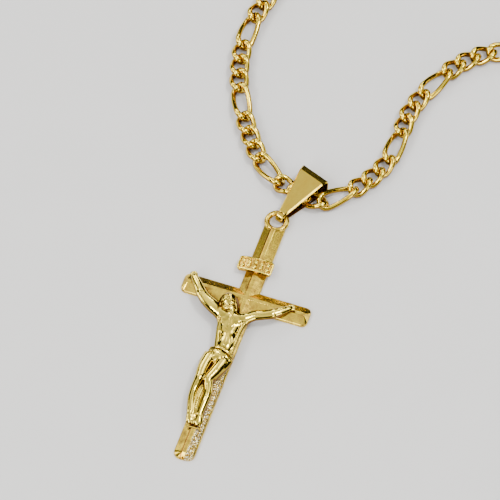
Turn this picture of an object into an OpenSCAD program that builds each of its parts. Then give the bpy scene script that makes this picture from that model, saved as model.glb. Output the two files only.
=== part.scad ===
/* [Cross] */
// Half of the crossbar's length
bar_half = 12; // [10:0.1:14]
// Length of the stem below the crossing
stem_down = 35; // [32:0.5:40]
// Length of the stem above the crossing, up to the eyelet
stem_up = 15.4; // [14.5:0.1:15.8]
// Width of both beams
beam_w = 3.9; // [3.5:0.1:4.3]
// Height of the beams' upright sides
side_h = 0.55; // [0.4:0.05:0.6]
// Height of the beams' ridge above the back
ridge_h = 1.4; // [1.2:0.05:1.45]
// Width of the flat along the ridge
ridge_flat = 0.6; // [0.3:0.1:1]
// Length of the sloping end of each beam
end_slope = 0.9; // [0.5:0.1:1.5]

/* [Eyelet] */
// Distance from the crossing to the eyelet's centre
eye_y = 17.1; // [17:0.1:17.3]
// Radius of the eyelet's wire centreline
eye_r = 1.78; // [1.7:0.02:1.8]
// Radius of the eyelet's wire
eye_wire = 0.42; // [0.38:0.01:0.42]
// Height of the eyelet's middle above the back
eye_z = 0.95; // [0.93:0.01:1]

/* [Figure] */
// Gap between the figure and the cross behind it
seat_gap = 0.06; // [0.03:0.01:0.1]
// Facets round each rounded form of the figure
figure_sides = 10; // [8:2:12]

/* [Plaque] */
// Width of the plaque across the stem
plaque_w = 6.7; // [6:0.1:7.2]
// Height of the plaque along the stem
plaque_h = 2.9; // [2.5:0.1:3.2]
// Thickness of the plaque
plaque_t = 0.75; // [0.6:0.05:0.9]
// Radius that the plaque is bent to
plaque_bend = 10; // [8:0.5:20]
// Distance from the crossing to the plaque's middle
plaque_y = 6.7; // [6:0.1:8]
// Width of the plaque's raised rim
rim_w = 0.34; // [0.25:0.01:0.45]
// Depth of the field inside the rim
field_depth = 0.22; // [0.15:0.01:0.3]

/* [Bail] */
// Thickness of the bail's strip
strip_t = 0.42; // [0.38:0.01:0.42]
// Height of the bail at its wide end
bail_h = 4.15; // [4.1:0.05:4.3]
// Outer radius of the two folds at the bail's wide end
fold_r = 1.1; // [1:0.05:1.2]
// Width of the strip at the wide end
strip_wide = 6; // [5.6:0.1:6.2]
// Width of the strip where it passes through the eyelet
strip_narrow = 1.3; // [1.1:0.1:1.4]
// How far the bail leans over from the stem's line
bail_lean = 20.3; // [19.5:0.1:22]

/* [Chain] */
// Diameter of the links' wire
wire_d = 0.8; // [0.74:0.02:0.8]
// Outer width of a link
link_w = 3.6; // [3.5:0.05:3.6]
// Play between the wires of two links at a straight joint
link_play = 0.2; // [0.19:0.01:0.24]
// Play added for each degree that the chain bends at a joint
bend_play = 0.007; // [0.006:0.001:0.01]
// Length that a short link adds to the chain
short_step = 3.12; // [3.1:0.01:3.2]
// Length that a long link adds to the chain
long_step = 6.28; // [6:0.02:6.6]
// Angle that each end of a link is turned out of the link's plane
link_turn = 50; // [48:1:54]
// Links on each side of the one inside the bail
links_per_side = 62; // [61:1:63]
// Length that the clasp adds to the chain
clasp_step = 11; // [10:0.5:12]

/* [Hidden] */

round_fn = 48;
half_w = beam_w / 2;

// Cross

function roof_outline() = [
    [-half_w, 0], [half_w, 0], [half_w, side_h],
    [ridge_flat / 2, ridge_h], [-ridge_flat / 2, ridge_h], [-half_w, side_h]
];

// A prism with the beam's roof section, lying along Y
module beam(y0, y1) {
    translate([0, y1, 0])
        rotate([90, 0, 0])
            linear_extrude(y1 - y0)
                polygon(roof_outline());
}

// The space under sloping ends at x0 and x1, as a prism lying along Y
module end_slopes(x0, x1) {
    translate([0, beam_w, 0])
        rotate([90, 0, 0])
            linear_extrude(2 * beam_w)
                polygon([
                    [x0, 0], [x1, 0], [x1, side_h - 0.1], [x1 - end_slope, ridge_h],
                    [x0 + end_slope, ridge_h], [x0, side_h - 0.1]
                ]);
}

// A block with rounded corners in plan, between two opposite corner points
module round_block(low, high, corner) {
    linear_extrude(ridge_h) {
        translate([low.x, low.y + corner])
            square([high.x - low.x, high.y - low.y - 2 * corner]);
        translate([low.x + corner, low.y])
            square([high.x - low.x - 2 * corner, high.y - low.y]);
        for (x = [low.x + corner, high.x - corner], y = [low.y + corner, high.y - corner])
            translate([x, y])
                circle(r = corner, $fn = round_fn);
    }
}

module crossbar() {
    intersection() {
        rotate([0, 0, 90]) beam(-bar_half, bar_half);
        round_block([-bar_half, -half_w], [bar_half, half_w], 0.7);
        end_slopes(-bar_half, bar_half);
    }
}

// Only the stem's foot is rounded, as the block runs on past its top
module stem() {
    intersection() {
        beam(-stem_down, stem_up);
        round_block([-half_w, -stem_down], [half_w, stem_up + 2], 1.1);
        rotate([0, 0, 90]) end_slopes(-stem_down, stem_up);
    }
}

module eyelet() {
    translate([0, eye_y, eye_z])
        rotate_extrude($fn = round_fn)
            translate([eye_r, 0])
                circle(r = eye_wire, $fn = round_fn);
}

// The web that blends the eyelet into the stem's shoulders
module eyelet_web() {
    difference() {
        translate([0, 0, eye_z - 0.4])
            linear_extrude(0.6)
                polygon([
                    [-half_w, stem_up - 1.2], [half_w, stem_up - 1.2],
                    [eye_r + 0.2, eye_y], [-eye_r - 0.2, eye_y]
                ]);
        translate([0, eye_y, 0])
            cylinder(r = eye_r - 0.1, h = 3, $fn = round_fn);
    }
}

module cross() {
    color("gold") {
        crossbar();
        stem();
        eyelet();
        eyelet_web();
    }
}

// Figure
// Each row of these tables is one rounded form of the body: its middle [x, y, z], then
// half its size across, along and out from the cross.

head_rows = [
    [[-2.3, -2.9, 3.0], [1.55, 1.75, 1.15]],
    [[-1.8, -4.3, 3.1], [1.05, 1.15, 0.85]]
];
torso_rows = [
    [[-0.9, -5.5, 2.5], [2.5, 1.1, 0.9]],
    [[-0.8, -7.3, 2.7], [2.15, 1.3, 1.0]],
    [[-0.1, -10.9, 2.4], [1.65, 1.1, 0.8]],
    [[-0.4, -13.6, 2.6], [2.15, 1.1, 1.0]]
];
cloth_rows = [
    [[-0.5, -13.4, 2.6], [2.35, 0.9, 1.1]],
    [[-0.8, -16.2, 2.7], [2.5, 1.2, 1.15]]
];
cloth_knot_rows = [
    [[-2.6, -13.7, 2.8], [0.7, 0.7, 0.7]],
    [[-3.1, -16.6, 2.4], [0.6, 0.8, 0.6]]
];
left_arm_rows = [
    [[-3.2, -5.3, 2.6], [1.0, 1.0, 0.85]],
    [[-7.0, -2.8, 2.4], [0.75, 0.75, 0.65]],
    [[-9.6, 0.3, 2.1], [0.5, 0.5, 0.45]],
    [[-10.3, 1.3, 1.95], [0.6, 0.6, 0.4]]
];
right_arm_rows = [
    [[1.3, -5.0, 2.6], [1.0, 0.95, 0.85]],
    [[5.3, -2.5, 2.4], [0.75, 0.75, 0.65]],
    [[7.9, -0.2, 2.1], [0.5, 0.5, 0.45]],
    [[8.6, 0.5, 1.95], [0.6, 0.6, 0.4]]
];
left_leg_rows = [
    [[-1.9, -15.6, 2.7], [1.35, 1.3, 1.15]],
    [[-2.2, -19.4, 3.1], [1.05, 1.05, 1.0]],
    [[-1.4, -25.6, 2.1], [0.65, 0.7, 0.65]],
    [[-1.1, -27.3, 1.8], [0.75, 0.8, 0.45]]
];
right_leg_rows = [
    [[0.3, -15.4, 2.7], [1.35, 1.3, 1.15]],
    [[-0.5, -19.0, 3.2], [1.05, 1.05, 1.0]],
    [[-0.1, -25.6, 2.1], [0.65, 0.7, 0.65]],
    [[0.2, -27.3, 1.8], [0.75, 0.8, 0.45]]
];

module rounded_form(row) {
    translate(row[0])
        scale(row[1])
            sphere(r = 1, $fn = figure_sides);
}

// Rounded forms joined one to the next
module limb(rows) {
    for (i = [0 : len(rows) - 2])
        hull() {
            rounded_form(rows[i]);
            rounded_form(rows[i + 1]);
        }
}

module figure() {
    color("goldenrod")
        difference() {
            union() {
                limb(head_rows);
                limb(torso_rows);
                limb(cloth_rows);
                limb(cloth_knot_rows);
                limb(left_arm_rows);
                limb(right_arm_rows);
                limb(left_leg_rows);
                limb(right_leg_rows);
            }
            translate([0, 0, seat_gap]) {
                rotate([0, 0, 90]) beam(-bar_half, bar_half);
                beam(-stem_down, stem_up);
            }
            // The back is flat, a little below the ridge
            translate([-20, -40, -1])
                cube([40, 60, 1 + ridge_h - 0.25]);
        }
}

// Plaque

plaque_low = ridge_h + seat_gap;
bend_centre_z = plaque_low - plaque_bend;
field_w = plaque_w - 2 * rim_w;
field_h = plaque_h - 2 * rim_w;
grain_count = 5;
// The plaque sits a little to the left of the ridge that it is bent over
plaque_x = -0.4;

module plaque_slab(w, h, r_in, r_out) {
    intersection() {
        translate([0, h / 2, bend_centre_z])
            rotate([90, 0, 0])
                difference() {
                    cylinder(r = r_out, h = h, $fn = 160);
                    translate([0, 0, -1])
                        cylinder(r = r_in, h = h + 2, $fn = 160);
                }
        translate([plaque_x - w / 2, -h, plaque_low - 2])
            cube([w, 2 * h, 4]);
    }
}

// A row of upright grains, tall and short in turn, in the plaque's field
module grains() {
    pitch = field_w / grain_count;
    for (i = [0 : grain_count - 1]) {
        x = plaque_x + (i - (grain_count - 1) / 2) * pitch;
        lean = asin(x / plaque_bend);
        translate([0, 0, bend_centre_z])
            rotate([0, lean, 0])
                translate([0, 0, plaque_bend + plaque_t - field_depth - 0.05])
                    for (side = [-1, 1])
                        translate([0, side * field_h * (i % 2 == 0 ? 0.26 : 0.14), 0])
                            cylinder(r1 = 0.34, r2 = 0.2, h = 0.2, $fn = 16);
    }
}

module plaque() {
    color("gold")
        translate([-0.1, plaque_y, 0])
            rotate([0, 0, 1.5]) {
                difference() {
                    plaque_slab(plaque_w, plaque_h, plaque_bend, plaque_bend + plaque_t);
                    plaque_slab(field_w, field_h, plaque_bend + plaque_t - field_depth,
                        plaque_bend + plaque_t + 1);
                }
                grains();
            }
}

// Bail
// In the bail's own frame Y runs up its middle from the eyelet's wire. Its side view is a
// closed strap round three circles: [along, height, radius] of the hook in the eyelet,
// then of the wide end's two folds, on the floor and at the top.

hook_r = 0.55 + strip_t;
hook_y = -0.55;
fold_y = 8.4;
flare_y = 0.9;
bail_circles = [
    [hook_y, hook_r, hook_r],
    [fold_y, fold_r, fold_r],
    [fold_y, bail_h - fold_r, fold_r]
];

// Direction that the straight side from circle a to circle b faces
function side_faces(a, b) =
    let (step = [b.x - a.x, b.y - a.y])
    atan2(step.y, step.x) - acos((a.z - b.z) / norm(step));

// Outline of a band pulled tight round the circles, which are made smaller by inset
function strap(circles, inset, steps = 12) = [
    for (i = [0 : len(circles) - 1])
        let (c = circles[i],
             start = side_faces(circles[(i + len(circles) - 1) % len(circles)], c),
             next = side_faces(c, circles[(i + 1) % len(circles)]),
             end = next < start ? next + 360 : next)
        for (k = [0 : steps])
            let (a = start + (end - start) * k / steps)
            [c.x + (c.z - inset) * cos(a), c.y + (c.z - inset) * sin(a)]
];

module side_view(outline) {
    rotate([90, 0, 90])
        translate([0, 0, -5])
            linear_extrude(10)
                polygon(outline);
}

// The strip is narrow in the eyelet and widens evenly from flare_y to the folds
module strip_plan() {
    low_y = hook_y - hook_r - 1;
    high_y = fold_y + fold_r;
    translate([0, 0, -1])
        linear_extrude(bail_h + 2)
            polygon([
                [-strip_narrow / 2, low_y], [strip_narrow / 2, low_y],
                [strip_narrow / 2, flare_y], [strip_wide / 2, high_y],
                [-strip_wide / 2, high_y], [-strip_narrow / 2, flare_y]
            ]);
}

module bail() {
    hook = [eye_r * sin(bail_lean), eye_y + eye_r * cos(bail_lean), 0];
    color("gold")
        translate(hook)
            rotate([0, 0, -bail_lean])
                intersection() {
                    difference() {
                        side_view(strap(bail_circles, 0));
                        side_view(strap(bail_circles, strip_t));
                    }
                    strip_plan();
                }
}

// Chain
// The route is one closed loop. It starts inside the bail, runs to the right and comes
// back from the left. Each point is [x, y] and the height of the links' middle.

rest_z = 1.12;
bail_z = 1.65;
route = [
    [2.1, 23.5, bail_z], [6, 23.1, 1.35], [9.3, 25.8, rest_z], [12.4, 29.8, rest_z],
    [14.6, 34.2, rest_z], [15.5, 39.9, rest_z], [15.1, 45, rest_z], [16.2, 50.4, rest_z],
    [18.4, 55.8, rest_z], [22.6, 61.6, rest_z], [30, 65.8, rest_z], [43, 68.6, rest_z],
    [62, 69.6, rest_z], [85, 71, rest_z], [109, 78, rest_z], [129, 92, rest_z],
    [140, 114, rest_z], [138, 139, rest_z], [124, 160, rest_z], [101, 174.5, rest_z],
    [74, 178.5, rest_z], [48, 172, rest_z], [25, 156.5, rest_z], [9, 135, rest_z],
    [-2, 111, rest_z], [-10, 89, rest_z], [-14.4, 72, rest_z], [-17, 61.5, rest_z],
    [-18.2, 53.6, rest_z], [-16.9, 45.2, rest_z], [-13.8, 37.8, rest_z],
    [-9.6, 31.4, rest_z], [-6, 27.2, rest_z], [-1.9, 24.7, 1.35]
];
fine_steps = 16;

// A point of the smooth curve between b and c, with neighbours a and d
function curve_point(a, b, c, d, t) =
    (2 * b + (c - a) * t + (2 * a - 5 * b + 4 * c - d) * t * t
        + (3 * b - a - 3 * c + d) * t * t * t) / 2;

fine_route = [
    for (i = [0 : len(route) - 1], k = [0 : fine_steps - 1])
        let (n = len(route))
        curve_point(route[(i + n - 1) % n], route[i], route[(i + 1) % n],
            route[(i + 2) % n], k / fine_steps)
];
fine_count = len(fine_route);
fine_length = [
    for (i = 0, s = 0; i <= fine_count;
         s = s + norm(fine_route[(i + 1) % fine_count] - fine_route[i % fine_count]), i = i + 1) s
];
route_length = fine_length[fine_count];
route_x = [for (i = [0 : fine_count]) [fine_length[i], fine_route[i % fine_count].x]];
route_y = [for (i = [0 : fine_count]) [fine_length[i], fine_route[i % fine_count].y]];
route_z = [for (i = [0 : fine_count]) [fine_length[i], fine_route[i % fine_count].z]];

function wrapped(s) = s < 0 ? s + route_length : s;
function route_at(s) = let (w = wrapped(s))
    [lookup(w, route_x), lookup(w, route_y), lookup(w, route_z)];

// Link 0 is inside the bail. Every fourth link is long.
function link_step(k) = (k + 4 * links_per_side) % 4 == 2 ? long_step : short_step;
function steps_up_to(k) = k <= 0 ? 0 : link_step(k) + steps_up_to(k - 1);
plain_length = short_step + 2 * steps_up_to(links_per_side) + clasp_step;
stretch = route_length / plain_length;

// Distance along the route to the joint at the start of link k
function joint_at(k) = stretch * (k > 0
    ? short_step / 2 + steps_up_to(k - 1)
    : -short_step / 2 - steps_up_to(-k));

// The joint past either end of the chain is the clasp's far one
function joint_place(k) =
    k > links_per_side + 1 ? route_at(joint_at(-links_per_side))
    : k < -links_per_side ? route_at(joint_at(links_per_side + 1))
    : route_at(joint_at(k));

link_sides = 10;
wire_sides = 5;
wire_r = wire_d / 2;
bend_r = (link_w - wire_d) / 2;

// Centreline of a link of half length a, as an oval whose ends turn out of its plane
function oval_point(a, j) =
    let (right = j < link_sides / 2,
         angle = right ? -90 + 45 * j : 90 + 45 * (j - link_sides / 2),
         x = (right ? 1 : -1) * (a - bend_r) + bend_r * cos(angle),
         y = bend_r * sin(angle),
         turn = -link_turn * x / a)
    [x, y * cos(turn), y * sin(turn)];

function unit(v) = v / norm(v);

// Wire points round centreline point j, square to the wire's direction there
function wire_ring(a, j) =
    let (here = oval_point(a, j),
         before = oval_point(a, (j + link_sides - 1) % link_sides),
         after = oval_point(a, (j + 1) % link_sides),
         along = unit(unit(here - before) + unit(after - here)),
         out = unit(here - (here * along) * along),
         side = cross(along, out))
    [
        for (i = [0 : wire_sides - 1])
            let (angle = 360 * i / wire_sides)
            here + wire_r * (cos(angle) * out + sin(angle) * side)
    ];

// Bend of the chain at joint q, in degrees, and how far each link reaches past it
function bend_at(p, q, r) = acos(min(1, unit(q - p) * unit(r - q)));
function reach_past(p, q, r) = (wire_d + link_play + bend_play * bend_at(p, q, r)) / 2;

// Points of a link from joint p to joint q, which reaches past them by over_p and over_q
function link_points(p, q, over_p, over_q) =
    let (ex = unit(q - p),
         middle = (p + q) / 2 + (over_q - over_p) / 2 * ex,
         a = (norm(q - p) + over_p + over_q) / 2,
         ey = unit(cross([0, 0, 1], ex)),
         ez = cross(ex, ey))
    [
        for (j = [0 : link_sides - 1], v = wire_ring(a, j))
            middle + v.x * ex + v.y * ey + v.z * ez
    ];

function link_faces(first) = [
    for (j = [0 : link_sides - 1], i = [0 : wire_sides - 1])
        let (j2 = (j + 1) % link_sides, i2 = (i + 1) % wire_sides,
             p = first + j * wire_sides + i, q = first + j * wire_sides + i2,
             r = first + j2 * wire_sides + i2, s = first + j2 * wire_sides + i)
        each [[p, r, q], [p, s, r]]
];

// Links k0 to k1, each a closed loop of wire through the next
module links(k0, k1) {
    per_link = link_sides * wire_sides;
    count = k1 - k0 + 1;
    joints = [for (k = [k0 - 1 : k1 + 2]) joint_place(k)];
    over = [for (i = [1 : count + 1]) reach_past(joints[i - 1], joints[i], joints[i + 1])];
    polyhedron(
        points = [
            for (i = [0 : count - 1])
                each link_points(joints[i + 1], joints[i + 2], over[i], over[i + 1])
        ],
        faces = [for (i = [0 : count - 1]) each link_faces(i * per_link)],
        convexity = 6);
}

module chain_left() {
    color("goldenrod") links(-links_per_side, -1);
}

module chain_right() {
    color("gold") links(0, links_per_side);
}

// Clasp
// One plain piece in the shape of a closed clasp, with a ring at each end that is turned
// as a link's end is.

clasp_ring_r = 1.15;
clasp_ring_turn = 35;

module clasp_ring(side) {
    reach = (clasp_step * stretch + wire_d + link_play) / 2 - clasp_ring_r;
    translate([side * reach, 0, 0])
        rotate([-side * clasp_ring_turn, 0, 0])
            rotate_extrude($fn = round_fn)
                translate([clasp_ring_r, 0])
                    circle(r = wire_r, $fn = 24);
}

module clasp() {
    start = route_at(joint_at(links_per_side + 1));
    end = route_at(joint_at(-links_per_side));
    along = unit(end - start);
    body_half = 1.65;
    body_r = 1.9;
    body_t = 1.6;
    color("gold")
        translate((start + end) / 2)
            rotate([0, 0, atan2(along.y, along.x)]) {
                clasp_ring(-1);
                clasp_ring(1);
                for (side = [-1, 1])
                    translate([side * body_half, 0, -body_t / 2])
                        cylinder(r = body_r, h = body_t, $fn = round_fn);
                translate([-body_half, -body_r, -body_t / 2])
                    cube([2 * body_half, 2 * body_r, body_t]);
            }
}

cross();
figure();
plaque();
bail();
chain_left();
chain_right();
clasp();
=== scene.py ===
import math

import bmesh
import bpy
import numpy as np
import openvdb
from mathutils import Matrix, Vector, noise


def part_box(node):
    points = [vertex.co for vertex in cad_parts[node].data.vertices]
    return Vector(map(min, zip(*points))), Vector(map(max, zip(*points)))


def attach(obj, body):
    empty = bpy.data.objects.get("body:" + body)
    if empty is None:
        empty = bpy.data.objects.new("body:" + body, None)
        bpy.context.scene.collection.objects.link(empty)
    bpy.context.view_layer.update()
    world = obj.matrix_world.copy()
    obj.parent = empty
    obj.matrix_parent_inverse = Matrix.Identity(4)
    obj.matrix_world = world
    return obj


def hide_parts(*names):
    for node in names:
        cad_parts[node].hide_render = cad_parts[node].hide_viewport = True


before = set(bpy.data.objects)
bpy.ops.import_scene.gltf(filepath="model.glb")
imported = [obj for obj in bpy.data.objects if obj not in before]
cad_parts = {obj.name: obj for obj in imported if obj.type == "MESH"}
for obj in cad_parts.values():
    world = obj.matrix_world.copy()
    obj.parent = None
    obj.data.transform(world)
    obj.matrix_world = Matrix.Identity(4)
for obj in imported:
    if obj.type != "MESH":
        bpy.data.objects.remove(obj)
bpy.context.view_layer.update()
mm = 0.001
print("frame loaded:", sorted(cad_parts))


# Points in millimetres become a mesh in metres, with its faces turned outwards
def newPiece(name, points, faces):
    mesh = bpy.data.meshes.new(name)
    mesh.from_pydata((np.asarray(points, float) * mm).tolist(), [], faces)
    piece = bpy.data.objects.new(name, mesh)
    bpy.context.scene.collection.objects.link(piece)
    turnOutwards(piece)
    return piece


# The mesh is opened for editing by a function, and then closed again
def edit(piece, change):
    bm = bmesh.new()
    bm.from_mesh(piece.data)
    change(bm)
    bm.to_mesh(piece.data)
    bm.free()


def turnOutwards(piece):
    edit(piece, lambda bm: bmesh.ops.recalc_face_normals(bm, faces=bm.faces))


# The modifiers' result becomes the piece's own plain mesh
def settle(piece):
    bpy.context.view_layer.update()
    shown = piece.evaluated_get(bpy.context.evaluated_depsgraph_get())
    mesh = bpy.data.meshes.new_from_object(shown)
    piece.modifiers.clear()
    piece.data = mesh
    return piece


def addBoolean(piece, other, operation):
    cut = piece.modifiers.new(operation.lower(), "BOOLEAN")
    cut.operation = operation
    cut.solver = "EXACT"
    cut.object = other
    settle(piece)
    bpy.data.objects.remove(other)


# Soft edges, with the flat faces left flat
def shadeSmooth(piece, angle):
    piece.data.shade_smooth()
    piece.data.set_sharp_from_angle(angle=math.radians(angle))
    flats = piece.modifiers.new("flats", "WEIGHTED_NORMAL")
    flats.keep_sharp = True
    settle(piece)


def setAttribute(piece, name, kind, values):
    field = "vector" if kind == "FLOAT_VECTOR" else "value"
    piece.data.attributes.new(name, kind, "POINT").data.foreach_set(field, np.ravel(values))


# Painted shade on steep sides: a darker, warmer tone, added to the painted shade of the recesses
def paintShadeOnSides(piece, look, paintedShade=None):
    count = len(piece.data.vertices)
    normals = np.zeros(count * 3)
    piece.data.vertex_normals.foreach_get("vector", normals)
    steep = np.clip((look["sideFrom"] - normals[2::3]) / look["sideFrom"], 0, 1)
    if "paintedShade" not in piece.data.attributes:
        setAttribute(piece, "paintedShade", "FLOAT", np.zeros(count))
    shadeValues = piece.data.attributes["paintedShade"].data
    if paintedShade is None:
        paintedShade = np.zeros(count)
        shadeValues.foreach_get("value", paintedShade)
    shadeValues.foreach_set("value", np.clip(paintedShade + look["sideShade"] * steep, 0, 1))


def dress(piece, material, slot, *nodes):
    piece.data.materials.clear()
    piece.data.materials.append(material)
    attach(piece, "root")
    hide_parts(*nodes)
    print("piece:", piece.name, len(piece.data.polygons), "faces")


# The points of each separate part of a mesh
def islands(bm):
    bm.verts.index_update()
    seen, parts = set(), []
    for first in bm.verts:
        if first.index in seen:
            continue
        part, ahead = [], [first]
        seen.add(first.index)
        while ahead:
            part.append(ahead.pop())
            for edge in part[-1].link_edges:
                there = edge.other_vert(part[-1])
                if there.index not in seen:
                    seen.add(there.index)
                    ahead.append(there)
        parts.append(part)
    return parts


# Node trees: a few words for placing and joining nodes
class Tree:
    def __init__(self, tree):
        self.tree = tree

    def add(self, kind, inputs=None, **settings):
        node = self.tree.nodes.new(kind)
        for key, value in settings.items():
            setattr(node, key, value)
        for key, value in (inputs or {}).items():
            if isinstance(value, bpy.types.NodeSocket):
                self.link(value, node.inputs[key])
            else:
                node.inputs[key].default_value = value
        return node

    def link(self, start, end):
        self.tree.links.new(start, end)

    def first(self, kind, inputs=None, **settings):
        return self.add(kind, inputs, **settings).outputs[0]

    def maths(self, operation, *values):
        return self.first("ShaderNodeMath", dict(enumerate(values)), operation=operation)

    def times(self, a, b):
        return self.maths("MULTIPLY", a, b)

    def ramp(self, value, start, end, low=0.0, high=1.0):
        return self.first("ShaderNodeMapRange", {
            "Value": value, "From Min": start, "From Max": end, "To Min": low, "To Max": high})

    def mix(self, factor, a, b):
        a, b = (side if isinstance(side, bpy.types.NodeSocket) else (*side, 1) for side in (a, b))
        node = self.add("ShaderNodeMix", {"Factor": factor, "A": a, "B": b}, data_type="RGBA")
        return node.outputs["Result"]

    # Noise over a group's vector, whose grains have this size in millimetres
    def cloud(self, size, detail):
        return self.first("ShaderNodeTexNoise", {
            "Vector": self.inside["Vector"], "Scale": self.maths("DIVIDE", 1 / mm, size), "Detail": detail})

    def named(self, attribute, kind):
        return self.first("GeometryNodeInputNamedAttribute", {"Name": attribute}, data_type=kind)

    # The end of a geometry group
    def finish(self, geometry, material):
        real = self.first("GeometryNodeRealizeInstances", {0: geometry})
        finished = self.first("GeometryNodeSetMaterial", {"Geometry": real, "Material": material})
        self.link(finished, self.outside["Geometry"])


# A node group: a shader group with a vector going in and numbers coming out when it has results,
# or else a geometry group. Its other inputs are numbers.
def newGroup(name, numbers, results=()):
    kind, main = ("Shader", "Vector") if results else ("Geometry", "Geometry")
    tree = Tree(bpy.data.node_groups.new(name, kind + "NodeTree"))
    tree.identifiers = {}
    for label in (main, *numbers):
        socket = "NodeSocket" + (main if label == main else "Float")
        tree.identifiers[label] = tree.tree.interface.new_socket(name=label, socket_type=socket).identifier
    for label in results or (main,):
        socket = "NodeSocketFloat" if results else "NodeSocketGeometry"
        tree.tree.interface.new_socket(name=label, in_out="OUTPUT", socket_type=socket)
    tree.inside = tree.add("NodeGroupInput").outputs
    tree.outside = tree.add("NodeGroupOutput").inputs
    return tree


# Runs a geometry group on a piece, with the group's inputs set by their identifiers
def runGroup(piece, tree, values):
    group = piece.modifiers.new("group", "NODES")
    group.node_group = tree.tree
    for name, value in values.items():
        group[tree.identifiers[name]] = value
    return settle(piece)


def newMaterial(name):
    material = bpy.data.materials.new(name)
    material.use_nodes = True
    return material, Tree(material.node_tree), material.node_tree.nodes["Principled BSDF"].inputs


# What all the golds share: how strongly patches, grains and lines show in the height and the wear
sharedLook = {"patchDetail": 3.0, "grainDetail": 2.0, "patchRange": (0.32, 0.68), "patchHeight": 0.8,
              "grainHeight": 0.35, "patchWear": 0.6, "lineWear": 0.4, "lineDetail": 2.0, "lineRoughness": 0.6}


def makeMottle():
    look = sharedLook
    tree = newGroup("castMottle", ("Patch Size", "Grain Size"), ("Patches", "Height"))
    patches = tree.cloud(tree.inside["Patch Size"], look["patchDetail"])
    grains = tree.cloud(tree.inside["Grain Size"], look["grainDetail"])
    tree.link(tree.ramp(patches, *look["patchRange"]), tree.outside["Patches"])
    coarse = tree.times(patches, look["patchHeight"])
    tree.link(tree.maths("MULTIPLY_ADD", grains, look["grainHeight"], coarse), tree.outside["Height"])
    return tree.tree


def makeScratches():
    tree = newGroup("fineScratches", ("Turn", "Line Width", "Line Length"), ("Lines",))
    turned = tree.first("ShaderNodeVectorRotate", {
        "Vector": tree.inside["Vector"], "Angle": tree.inside["Turn"]}, rotation_type="Z_AXIS")
    across, along = (tree.maths("DIVIDE", 1 / mm, tree.inside[name])
                     for name in ("Line Width", "Line Length"))
    scale = tree.first("ShaderNodeCombineXYZ", {"X": across, "Y": along, "Z": across})
    lines = tree.first("ShaderNodeTexNoise", {
        "Vector": tree.first("ShaderNodeVectorMath", {0: turned, 1: scale}, operation="MULTIPLY"),
        "Scale": 1.0, "Detail": sharedLook["lineDetail"], "Roughness": sharedLook["lineRoughness"]})
    tree.link(lines, tree.outside["Lines"])
    return tree.tree


# Coarse grain on one side of the lower stem, with painted glints as pale specks and painted shade as dark
# specks, and a painted shade line beside the stem's ridge. A pair says where each starts and where it is
# full, in millimetres of the shared frame, or in the noise's own values for the glints and the dark specks.
frostAndPaintedLightLook = {"sideInner": (0.32, 0.5), "sideOuter": (1.95, 1.5), "below": (-11.0, -19.0),
             "lineOuter": (-0.66, -0.5), "lineInner": (-0.26, -0.34), "lineFrom": (0.5, 1.8),
             "grain": 0.24, "detail": 2.0, "glints": (0.5, 0.56), "shadeSpecks": (0.47, 0.38),
             "dull": 0.03, "glintColour": (1.0, 0.93, 0.66)}


def makeFrostAndPaintedLight():
    look = frostAndPaintedLightLook
    tree = newGroup("frostAndPaintedLight", ("Grain Size",), ("Mask", "Height", "Glints", "Painted Shade"))
    place = tree.add("ShaderNodeSeparateXYZ", {0: tree.inside["Vector"]}).outputs
    x, y = place["X"], place["Y"]

    def within(*rows):
        masks = [tree.ramp(value, look[name][0] * mm, look[name][1] * mm) for value, name in rows]
        return tree.times(tree.times(masks[0], masks[1]), masks[2])

    mask = within((x, "sideInner"), (y, "below"), (x, "sideOuter"))
    line = within((x, "lineOuter"), (x, "lineInner"), (tree.maths("ABSOLUTE", y), "lineFrom"))
    grains = tree.cloud(tree.inside["Grain Size"], look["detail"])
    glints, shadeSpecks = (tree.times(mask, tree.ramp(grains, *look[name])) for name in ("glints", "shadeSpecks"))
    for name, value in (("Mask", mask), ("Height", tree.times(mask, grains)), ("Glints", glints),
                        ("Painted Shade", tree.maths("MAXIMUM", line, shadeSpecks))):
        tree.link(value, tree.outside[name])
    return tree.tree


mottleGroup = makeMottle()
frostAndPaintedLightGroup = makeFrostAndPaintedLight()
scratchGroup = makeScratches()

# One row of looks for each finish of the gold, with the colour that its painted shade turns to
goldFinishes = {
    "goldFacets": {"light": (0.93, 0.67, 0.06), "deep": (0.48, 0.30, 0.04), "shadeColour": (0.30, 0.14, 0.02),
                   "smooth": 0.11, "dull": 0.28, "patch": 1.3, "grain": 0.12, "relief": 0.006, "turn": 0.35,
                   "lineWidth": 0.05, "lineLength": 2.2, "lineDepth": 0.3, "frost": 30.0},
    "goldFigure": {"light": (1.0, 0.80, 0.11), "deep": (1.0, 0.73, 0.08), "shadeColour": (0.16, 0.07, 0.01),
                   "smooth": 0.08, "dull": 0.15, "patch": 0.8, "grain": 0.10, "relief": 0.006, "turn": 0.9,
                   "lineWidth": 0.06, "lineLength": 0.8, "lineDepth": 0.12},
    "goldCast": {"light": (1.0, 0.80, 0.11), "deep": (0.98, 0.70, 0.07), "shadeColour": (0.46, 0.26, 0.03),
                 "smooth": 0.12, "dull": 0.28, "patch": 0.5, "grain": 0.10, "relief": 0.02, "turn": 0.2,
                 "lineWidth": 0.08, "lineLength": 0.5, "lineDepth": 0.2},
    "goldPlate": {"light": (0.96, 0.69, 0.08), "deep": (0.82, 0.55, 0.06), "shadeColour": (0.20, 0.08, 0.01),
                  "smooth": 0.13, "dull": 0.26, "patch": 1.6, "grain": 0.09, "relief": 0.004, "turn": 0.33,
                  "lineWidth": 0.04, "lineLength": 3.5, "lineDepth": 0.4},
    "goldWire": {"light": (1.0, 0.76, 0.08), "deep": (0.94, 0.62, 0.04), "shadeColour": (0.24, 0.11, 0.01),
                 "smooth": 0.09, "dull": 0.18, "patch": 0.9, "grain": 0.12, "relief": 0.004, "turn": 0.0,
                 "lineWidth": 0.07, "lineLength": 0.7, "lineDepth": 0.1},
}
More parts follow.
